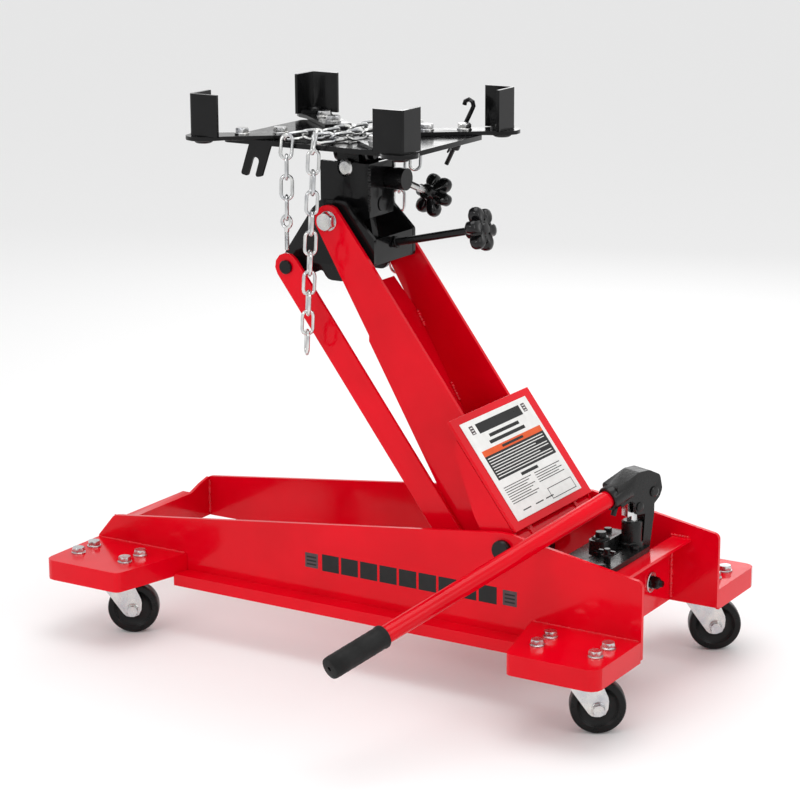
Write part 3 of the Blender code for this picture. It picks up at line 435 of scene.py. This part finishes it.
def hex_head(work, origin, direction, flats, height, washer_r, washer_h, turn, shank=0.0):
    """A washer, a chamfered hexagon and, if asked, the threaded end that stands out of it."""
    matrix = along_matrix(origin, direction)
    low = 0.0
    if washer_r:
        washer = ((washer_r, 0), (washer_r, washer_h - 0.4), (washer_r - 0.5, washer_h))
        ring_stack(work, [circle(radius, high, 32) for radius, high in washer], matrix)
        low = washer_h
    spin = matrix @ Matrix.Rotation(turn, 4, "Z")
    corner = flats / 2 / cos(radians(30))

    def hex_ring(scale, high):
        points = []
        for i in range(24):
            at = 2 * pi * i / 24
            reach = flats / 2 / cos((at + pi / 6) % (pi / 3) - pi / 6)
            reach = min(reach, corner * scale)
            points.append((reach * cos(at), reach * sin(at), high))
        return points

    top = low + height
    levels = ((0.97, low), (1.0, low + 0.6), (1.0, top - 1.6), (0.93, top - 0.7), (0.88, top))
    rings = [hex_ring(scale, high) for scale, high in levels]
    rings.append([(spot[0] * 0.86, spot[1] * 0.86, top - 0.15) for spot in hex_ring(0.86, top)])
    ring_stack(work, rings, spin)
    if shank:
        radius = flats * 0.29
        thread = [(radius, 0)]
        for k in range(int(shank / 1.2)):
            thread += [(radius, 1.2 * k + 0.3), (radius - 0.5, 1.2 * k + 0.9)]
        thread += [(radius - 0.8, shank)]
        start = Vector(origin) + Vector(direction).normalized() * (top - 0.3)
        turn_shape(work, thread, start, direction, 20)


def sweep(work, path, radius, closed=False):
    """A round bar through points in millimetres; radius may be a list, one for each point."""
    path = [Vector(point) for point in path]
    total = len(path)
    rings = []
    side = None
    for i, here in enumerate(path):
        if closed:
            ahead = path[(i + 1) % total] - path[i - 1]
        else:
            ahead = path[min(i + 1, total - 1)] - path[max(i - 1, 0)]
        ahead.normalize()
        if side is None:
            side = ahead.orthogonal().normalized()
        side = (side - ahead * side.dot(ahead)).normalized()
        other = ahead.cross(side)
        reach = radius[i] if isinstance(radius, (list, tuple)) else radius
        ring = []
        for k in range(BAR_SIDES):
            turn = 2 * pi * k / BAR_SIDES
            ring.append(here + side * (reach * cos(turn)) + other * (reach * sin(turn)))
        rings.append(ring)
    ring_stack(work, rings, Matrix.Translation(place(0, 0, 0)), closed)


def weld_bead(work, path, radius, pitch):
    """A run of weld: overlapping ripples along the path."""
    points = [Vector(point) for point in path]
    spots = []
    for first, second in zip(points, points[1:]):
        length = (second - first).length
        steps = max(2, ceil(length / (pitch / 5)))
        spots += [first.lerp(second, k / steps) for k in range(steps)]
    spots.append(points[-1])
    reach = []
    run = 0.0
    for i, spot in enumerate(spots):
        if i:
            run += (spot - spots[i - 1]).length
        ripple = abs(sin(pi * run / pitch))
        drift = 0.14 * sin(run * 0.37) + 0.08 * sin(run * 0.91 + 1.3)
        reach.append(radius * (0.74 + 0.26 * ripple + drift))
    reach[0] = radius * 0.4
    reach[-1] = radius * 0.4
    sweep(work, spots, reach)


def arm_point(t, n, y):
    """Arm coordinates: down the arm from B, out from its axis, across."""
    length = hypot(A[0] - B[0], A[1] - B[1])
    ex, ez = (A[0] - B[0]) / length, (A[1] - B[1]) / length
    return Vector((B[0] + ex * t - ez * n, y, B[1] + ez * t + ex * n))


def under(t):
    """How far out from the axis the arm's lower edge is, at t down the arm."""
    return -22.0 - 0.132 * t


# ---------------------------------------------------------------- frame


def dress_frame():
    for node in ("rail_near", "rail_far", "rear_cross", "front_cross"):
        refined(node, RED, 1.6, 3)
    for corner in CORNERS:
        refined("bracket_" + corner, RED, 1.8, 3)
    refined("arm_pin", BLACK, 0.8)
    refined("link_stud_near", BLACK, 0.8)
    refined("link_stud_far", BLACK, 0.8)
    work = bmesh.new()
    for side in (-1, 1):
        inner = side * 118.4
        weld_bead(work, [(-72.2, inner, 97), (-72.2, inner, 140), (-72.2, inner, 183)], 3.4, 4.6)
        weld_bead(work, [(-74, inner, 190.4), (-60, inner, 190.6), (-44, inner, 190.4)], 2.6, 4.0)
        weld_bead(work, [(-878.6, inner, 97), (-878.6, inner, 152)], 3.2, 4.4)
        weld_bead(work, [(-884.6, inner, 152), (-884.6, inner, 97)], 2.8, 4.2)
        out = side * (RAIL_OUT + 0.6)
        for first, last in ((-908, -748), (-163, -3)):
            weld_bead(work, [(first, out, BRACKET_Z + 0.2), (last, out, BRACKET_Z + 0.2)], 1.7, 3.6)
    add_piece("frame_welds", work, WELD, "frame", slot="red_paint")
    work = bmesh.new()
    for side in (-1, 1):
        hex_head(work, (-73.4, side * 54, 138.5), (1, 0, 0), 17, 9.5, 14.2, 2.4, 0.3, 8.0)
    add_piece("unit_bolts", work, BLACK, "frame", slot="black_paint")
    work = bmesh.new()
    for side in (-1, 1):
        rings = [(9.5, -0.2), (14.8, -0.2), (14.8, 1.9), (13.9, 2.6), (9.5, 2.6)]
        turn_shape(work, rings, (-72.8, side * 54, 138.5), (1, 0, 0), 40, True)
    add_piece("unit_washers", work, ZINC, "frame", slot="zinc")


def dress_casters():
    ahead = Vector((cos(TRAIL_DIR), sin(TRAIL_DIR), 0))
    across = Vector((-sin(TRAIL_DIR), cos(TRAIL_DIR), 0))
    for corner in CORNERS:
        end, side = corner.split("_")
        x, y = CASTER_X[end], CASTER_Y[side]
        refined("caster_plate_" + corner, ZINC, 0.5)
        work = bmesh.new()
        for i, (dx, dy) in enumerate(((-43, -18.5), (-43, 18.5), (43, -18.5), (43, 18.5))):
            spot = (x + dx, y + dy, BRACKET_Z + 0.1)
            hex_head(work, spot, (0, 0, 1), 16.6, 6.8, 10.6, 2.2, 0.35 + i * 0.4)
        add_piece("bracket_bolts_" + corner, work, ZINC, "frame", slot="zinc")
        refined("caster_fork_" + corner, ZINC, 0.8)
        work = bmesh.new()
        race = [(22, -4), (29.4, -3), (30.4, 0), (29.4, 3), (22, 4)]
        turn_shape(work, race, (x, y, 106.5), (0, 0, 1), 48)
        axle = Vector((x, y, WHEEL_R)) + ahead * TRAIL
        for way in (-1, 1):
            spot = axle + across * (way * 19.2)
            hex_head(work, spot, across * way, 15.2, 6.4, 9.8, 1.2, 0.2)
        add_piece("caster_race_" + corner, work, ZINC, "caster_" + corner, slot="zinc")
        tread = [
            (26.4, -10.8), (28.6, -12.4), (34.6, -12.5), (36.6, -11.6), (37.7, -9.4), (37.95, -6.0),
            (38, 0), (37.95, 6.0), (37.7, 9.4), (36.6, 11.6), (34.6, 12.5), (28.6, 12.4), (26.4, 10.8),
        ]
        body = "wheel_" + corner
        name = "wheel_tread_" + corner
        wheel = turned(name, tread, axle, across, TYRE, body, 72, True, slot="wheel_rubber")
        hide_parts(body)
        hub = [
            (5.4, -14), (10.5, -14), (11.5, -13), (12.5, -9.5), (15, -8.2), (22.5, -8.2), (25.4, -9.6),
            (26.8, -10.8), (26.8, 10.8), (25.4, 9.6), (22.5, 8.2), (15, 8.2), (12.5, 9.5), (11.5, 13),
            (10.5, 14), (5.4, 14),
        ]
        name = "wheel_hub_" + corner
        turned(name, hub, axle, across, HUB, body, 64, True, slot="wheel_rubber")


# ---------------------------------------------------------------- arm, link and label


def dress_arm():
    for node in ("arm_plate_near", "arm_plate_far", "arm_cover", "arm_web"):
        refined(node, RED, 1.3, 3)
    refined("arm_tube", RED, 1.0)
    refined("label_plate", WHITE_INK, 0.15, 1)
    for node in ("link_near", "link_far"):
        refined(node, RED, 1.3, 3)
    work = bmesh.new()
    for side in (-1, 1):
        for first, last in ((156, 182), (270, 300), (408, 436)):
            ends = [arm_point(t, under(t) + 8.6, side * 61.6) for t in (first, last)]
            weld_bead(work, ends, 3.2, 4.4)
        for t in (352, 420, 488):
            ends = [arm_point(spot, 19.6, side * 70.4) for spot in (t - 12, t + 12)]
            weld_bead(work, ends, 2.4, 4.0)
        ring = []
        for i in range(25):
            turn = 2 * pi * i / 24
            ring.append((A[0] + 19.4 * cos(turn), side * 69.6, A[1] + 19.4 * sin(turn)))
        weld_bead(work, ring, 2.4, 4.0)
    add_piece("arm_welds", work, WELD, "arm", slot="red_paint")
    for tag, side in (("near", -1), ("far", 1)):
        work = bmesh.new()
        turn_shape(work, [(8, 0), (8, 24)], (B[0], side * 46.5, B[1]), (0, side, 0), 32)
        hex_head(work, (B[0], side * 69.2, B[1]), (0, side, 0), 24, 9.4, 14.2, 1.2, 0.3)
        bolt = add_piece("head_bolt_hex_" + tag, work, ZINC, "arm", slot="zinc")
        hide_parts("head_bolt_" + tag)


def strip(work, corner, first, second, out, size, thick, material):
    """A thin printed bar: size along two directions from a corner, standing proud along the third."""
    points = []
    for high in (0.0, thick):
        for u, v in ((0, 0), (size[0], 0), (size[0], size[1]), (0, size[1])):
            points.append(Vector(corner) + first * u + second * v + out * high)
    made = [work.verts.new(place(*point)) for point in points]
    faces = [(3, 2, 1, 0), (4, 5, 6, 7), (0, 1, 5, 4), (1, 2, 6, 5), (2, 3, 7, 6), (3, 0, 4, 7)]
    for face in faces:
        work.faces.new([made[i] for i in face]).material_index = material


def dress_label():
    """Plain bars and blocks only: no letters."""
    along = (arm_point(100, 0, 0) - arm_point(0, 0, 0)).normalized()
    out = (arm_point(0, 100, 0) - arm_point(0, 0, 0)).normalized()
    across = Vector((0, 1, 0))
    work = bmesh.new()

    def bar(t, y, down, wide, material, lift=0.0):
        corner = arm_point(t, COVER_TOP + lift, y)
        strip(work, corner, along, across, out, (down, wide), PRINT_T, material)

    bar(353, -62, 15, 124, 0)
    for y in (-80, 68):
        bar(353, y, 13, 10, 3)
        for k in range(3):
            bar(355.4 + 4 * k, y + 2, 1.4, 6, 1, PRINT_T)
    bar(373, -44, 5, 84, 0)
    bar(382, -52, 5, 100, 0)
    bar(392, -84, 9, 168, 2)
    bar(394.6, -30, 3.6, 60, 0, PRINT_T)
    bar(401, -84, 37, 168, 0)
    for k in range(8):
        bar(404.4 + 4.1 * k, -80, 1.3, 158 - (29 if k % 3 == 2 else 0), 1, PRINT_T)
    bar(441.5, -26, 4.5, 48, 0)
    for k in range(8):
        bar(450 + 3.6 * k, -84, 1.1, 78 - 9 * (k % 3), 0)
        if k < 5:
            bar(450 + 3.6 * k, 4, 1.1, 74 - 12 * (k % 2), 0)
    for t in (478, 494):
        bar(t, 12, 1.0, 70, 0)
    for y in (12, 80.8):
        bar(478, y, 17, 1.2, 0)
    for y in (-70, -34, -4):
        bar(489, y, 1.6, 22, 0)
    add_piece("label_print", work, [BLACK_INK, WHITE_INK, ORANGE_INK, GREY_INK], "arm", slot="label")


def dress_rail_mark():
    """A plain dark band between two small grey tiles on the outside of each rail."""
    for tag, side in (("near", -1), ("far", 1)):
        work = bmesh.new()
        first = Vector((1, 0, 0))
        second = Vector((0, 0, 1))
        out = Vector((0, side, 0))
        y = side * (RAIL_OUT + 0.02)
        for x in (-535, -210.5):
            strip(work, (x, y, 134), first, second, out, (22, 22), PRINT_T, 1)
            for k in range(3):
                corner = (x + 3, y + side * PRINT_T, 138 + 5.4 * k)
                strip(work, corner, first, second, out, (16, 2.4), 0.1, 0)
        for k in range(9):
            strip(work, (-506 + 32.2 * k, y, 132.5), first, second, out, (28.4, 25), PRINT_T, 0)
        add_piece("rail_mark_" + tag, work, [BLACK_INK, GREY_INK], "frame", slot="black_paint")


# ---------------------------------------------------------------- hydraulic unit


def dress_unit():
    refined("power_unit", CAST, 1.6, 3)
    refined("pump_block", CAST, 1.2, 2)
    refined("ram_rod", STEEL, 0.6)
    refined("pump_plunger", STEEL, 0.4)
    refined("handle_socket", CAST, 1.4, 3)
    refined("pump_handle", RED, 0.8)
    refined("release_valve", BLACK, 0.5)
    work = bmesh.new()
    for spot, flats, high in (
        ((-108, -40, 198.2), 11, 6), ((-77, -92, 198.2), 12, 6.5), ((-77, 8, 198.2), 11, 6),
        ((-107, -88, 198.2), 12, 6.5), ((-124, 20, 214.2), 10, 5), ((-118, -14, 217), 14, 7),
    ):
        hex_head(work, spot, (0, 0, 1), flats, high, 0.0, 0.0, 0.2)
    add_piece("unit_cap_screws", work, BLACK, "frame", slot="black_paint")
    flat = Vector((-cos(PUMP_DIR), -sin(PUMP_DIR), 0))
    way = flat * cos(HANDLE_DROP) - Vector((0, 0, sin(HANDLE_DROP)))
    first = Vector((*PUMP, HANDLE_TOP - HANDLE_START * tan(HANDLE_DROP))) + flat * HANDLE_START
    end = first + way * HANDLE_LENGTH
    profile = [(12.7, 0.5), (13.6, 0), (15.0, 0.8), (15.9, 2.5), (15.9, 6.5), (15.2, 8.5)]
    for k in range(7):
        profile += [(15.25, 12 + 11 * k), (15.45, 16 + 11 * k), (15.25, 20 + 11 * k)]
    profile += [(15.1, 89), (14.4, 91.2), (12.5, 92), (3.2, 92), (3.0, 91), (3.0, 86.4)]
    start = end - way * GRIP_LENGTH
    grip = turned("grip_sleeve", profile, start, way, GRIP, "handle", 56, slot="grip_rubber")
    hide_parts("handle_grip")


# ---------------------------------------------------------------- head and screws


LOBE_AT = 23.6
LOBE_R = 9.2
VALLEY_R = 19.0


def star_knob(work, centre, way):
    """A hand knob with six round lobes, a hub behind it and a dished face."""
    count = 120

    def lobed(radius, turn):
        off = (turn + pi / 6) % (pi / 3) - pi / 6
        inside = LOBE_R**2 - (LOBE_AT * sin(off)) ** 2
        lobe = LOBE_AT * cos(off) + sqrt(inside) if inside > 0 else 0.0
        full = LOBE_AT + LOBE_R
        return radius * max(lobe, VALLEY_R) / full

    matrix = along_matrix(centre, way)
    rings = [circle(10.2, 0, count), circle(11.4, 1.2, count), circle(12.4, 9, count)]
    for radius, height in (
        (22.0, 11.0), (28.0, 12.2), (31.4, 14.6), (33.0, 18.2), (33.0, 23.8), (31.4, 27.4), (28.0, 29.6),
        (23.0, 30.4), (19.0, 29.6),
    ):
        rings.append(circle(radius, height, count, lobed))
    for radius, height in ((12.0, 28.2), (9.0, 28.6), (7.4, 30.6), (4.0, 31.2)):
        rings.append(circle(radius, height, count))
    ring_stack(work, rings, matrix)


def screw_rod(work, start, way, length, radius, thread_from, thread_to, pitch=1.75):
    """A rod with grooves for a thread over part of its length."""
    profile = [(radius - 1.0, 0), (radius - 0.2, 0.8)]
    spot = thread_from
    while spot < thread_to:
        profile += [(radius, spot), (radius - 0.75, spot + pitch * 0.5)]
        spot += pitch
    profile += [(radius, thread_to + 0.5), (radius, length)]
    turn_shape(work, profile, start, way, 24)


def dress_head():
    refined("head_yoke", BLACK, 1.2, 3)
    refined("head_box", BLACK, 1.2, 3)
    refined("screw_trunnion", BLACK, 1.0)
    refined("tilt_bolt", ZINC, 0.6)
    refined("tilt_block", BLACK, 0.8)
    work = bmesh.new()
    screw_rod(work, NUT - LEVEL_WAY * 26, LEVEL_WAY, 190, 5.5, 2, 66)
    for d in (25.6, 39.6):
        turn_shape(work, [(8, 0), (8.6, 0.5), (8.6, 2.1), (8, 2.6)], NUT + LEVEL_WAY * d, LEVEL_WAY, 32)
    screw = add_piece("level_screw_rod", work, BLACK_MATT, "level_screw", slot="black_paint")
    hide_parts("level_screw")
    work = bmesh.new()
    star_knob(work, NUT + LEVEL_WAY * 160, LEVEL_WAY)
    add_piece("level_screw_knob", work, KNOB, "level_screw", slot="black_paint")
    work = bmesh.new()
    screw_rod(work, TRUNNION + SIDE_WAY, SIDE_WAY, 72, 5.0, 1.5, 42)
    screw = add_piece("side_screw_rod", work, ZINC, "side_screw", slot="black_paint")
    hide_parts("side_screw")
    work = bmesh.new()
    star_knob(work, TRUNNION + SIDE_WAY * 61, SIDE_WAY)
    add_piece("side_screw_knob", work, KNOB, "side_screw", slot="black_paint")
    work = bmesh.new()
    for side in (-1, 1):
        weld_bead(work, [(-480.4, side * 31.6, 640), (-480.4, side * 31.6, 704)], 2.2, 4.0)
        weld_bead(work, [(-549, side * 49.4, 638.4), (-500, side * 49.4, 638.4)], 2.2, 4.0)
    add_piece("head_welds", work, BLACK, "head", slot="black_paint")


# ---------------------------------------------------------------- saddle and chains


def dress_saddle():
    refined("saddle_base", BLACK, 1.0, 3)
    refined("chain_hook", BLACK, 0.3)
    for corner, sx, sy, angle in SADDLE_ARMS:
        refined("saddle_arm_" + corner, BLACK, 0.9, 2)
        refined("corner_post_" + corner, BLACK, 0.9, 3)
        work = bmesh.new()
        for i, reach in enumerate(BOLT_REACH):
            x = MID_X + sx * cos(angle) * reach
            y = sy * sin(angle) * reach
            hex_head(work, (x, y, SADDLE_Z + 6.1), (0, 0, 1), 17.6, 6.6, 10.8, 2.4, 0.25 + 0.5 * i)
        add_piece("saddle_bolts_" + corner, work, ZINC, "saddle", slot="zinc")
        x = MID_X + sx * cos(angle) * POST_REACH
        y = sy * sin(angle) * POST_REACH
        work = bmesh.new()
        dome = [(10.4, 0), (10.2, 2.4), (8.6, 4.3), (5.0, 5.3), (1.5, 5.6)]
        turn_shape(work, dome, (x, y, SADDLE_Z + 10), (0, 0, 1), 40)
        add_piece("post_rivet_" + corner, work, BLACK, "post_" + corner, slot="black_paint")


def smooth(points, per_span):
    """A Catmull-Rom curve through the points."""
    path = [Vector(point) for point in points]
    made = []
    for i in range(len(path) - 1):
        before = path[max(i - 1, 0)]
        first, second = path[i], path[i + 1]
        after = path[min(i + 2, len(path) - 1)]
        for k in range(per_span):
            t = k / per_span
            made.append(
                0.5
                * (
                    2 * first
                    + (second - before) * t
                    + (2 * before - 5 * first + 4 * second - after) * t * t
                    + (3 * first - before - 3 * second + after) * t * t * t
                )
            )
    made.append(path[-1])
    return made


def chain_route(xs, near_end, far_end):
    """The part's chain route, for links that lie half turned on the saddle."""
    return smooth(
        [
            (xs[0], -CHAIN_Y, near_end),
            ((xs[0] + xs[1]) / 2, -CHAIN_Y, (near_end + CHAIN_DROP) / 2),
            (xs[1], -CHAIN_Y, CHAIN_DROP),
            (xs[1], -CHAIN_Y + 2.5, CHAIN_BEND),
            (xs[1], -CHAIN_Y + 10, CHAIN_TOP),
            (xs[2], -60, CHAIN_TOP),
            (xs[3], 0, CHAIN_TOP),
            (xs[4], 60, CHAIN_TOP),
            (xs[5], CHAIN_Y - 10, CHAIN_TOP),
            (xs[5], CHAIN_Y - 2.5, CHAIN_BEND),
            (xs[5], CHAIN_Y, CHAIN_DROP),
            (xs[5] - 4, CHAIN_Y, far_end),
        ],
        24,
    )


# a link's pitch, the radius of its wire and the radius of its ends' middle line
LINK_PITCH = 28.5
LINK_WIRE = 2.5
LINK_BEND = 7.8

# the short chain's links start below its eye bolt and stop above its hook
EYE_X = -567.8
EYE_GAP = 47.0
HOOK_GAP = 88.0


def link_path(centre, along, across):
    """The middle line of one oval link."""
    straight = LINK_PITCH / 2 + LINK_WIRE - LINK_BEND
    made = []
    for end in (1, -1):
        for k in range(9):
            turn = radians(-90 + 180 * k / 8)
            u = end * (straight + LINK_BEND * cos(turn))
            v = end * LINK_BEND * sin(turn)
            made.append(centre + along * u + across * v)
    return made


def add_links(name, route, hang_turn, start=0.0, stop=None):
    """Oval links along the route, each a quarter turn from the one before; hanging ones turn a bit more."""
    lengths = [0.0]
    for first, second in zip(route, route[1:]):
        lengths.append(lengths[-1] + (second - first).length)
    total = lengths[-1] if stop is None else stop
    count = int((total - start) / LINK_PITCH)

    def at(run):
        for i in range(1, len(route)):
            if lengths[i] >= run:
                part = (run - lengths[i - 1]) / (lengths[i] - lengths[i - 1])
                return route[i - 1].lerp(route[i], part)
        return route[-1]

    work = bmesh.new()
    for k in range(count):
        run = start + LINK_PITCH * (k + 0.5)
        centre = at(run)
        along = (at(run + 9) - at(run - 9)).normalized()
        flat = Vector((1, 0, 0)) - along * along.x
        flat.normalize()
        up = along.cross(flat)
        extra = 0.0 if abs(along.z) < 0.8 else hang_turn if along.z > 0 else -hang_turn
        turn = radians(45 - extra - (0 if k % 2 else 90))
        across = flat * cos(turn) + up * sin(turn)
        sweep(work, link_path(centre, along, across), LINK_WIRE, True)
    return add_piece(name, work, CHAIN, "saddle", smooth_angle=60, slot="chain_steel")


def dress_chains():
    long_route = chain_route((-537, -521, -503, -492, -490, -489), near_end=448, far_end=655)
    piece = add_links("chain_long_links", long_route, 0.0)
    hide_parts("chain_long")
    short_route = chain_route((-568, -566, -547, -532, -521, -517), near_end=590, far_end=520)
    total = sum((b - a).length for a, b in zip(short_route, short_route[1:]))
    piece = add_links("chain_short_links", short_route, 14.0, EYE_GAP, total - HOOK_GAP)
    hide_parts("chain_short")
    work = bmesh.new()
    eye = []
    for k in range(24):
        turn = 2 * pi * k / 24
        eye.append((EYE_X + 7.2 * sin(turn), -CHAIN_Y, 631 + 8.2 * cos(turn)))
    sweep(work, eye, 2.8, True)
    screw_rod(work, (EYE_X, -CHAIN_Y, 591), (0, 0, 1), 33, 3.6, 1, 26, 1.4)
    hook = [
        (-521, CHAIN_Y, 606), (-515, CHAIN_Y, 601), (-514, CHAIN_Y, 592), (-520, CHAIN_Y, 584),
        (-523, CHAIN_Y, 572), (-522, CHAIN_Y, 556), (-515, CHAIN_Y, 544), (-514, CHAIN_Y, 533),
        (-521, CHAIN_Y, 525.5), (-530, CHAIN_Y, 527), (-534, CHAIN_Y, 536), (-533, CHAIN_Y, 545),
    ]
    sweep(work, smooth(hook, 6), 3.0)
    add_piece("chain_ends", work, CHAIN, "saddle", smooth_angle=60, slot="chain_steel")


add_camera()
add_studio()
dress_frame()
dress_casters()
dress_arm()
dress_label()
dress_rail_mark()
dress_unit()
dress_head()
dress_saddle()
dress_chains()
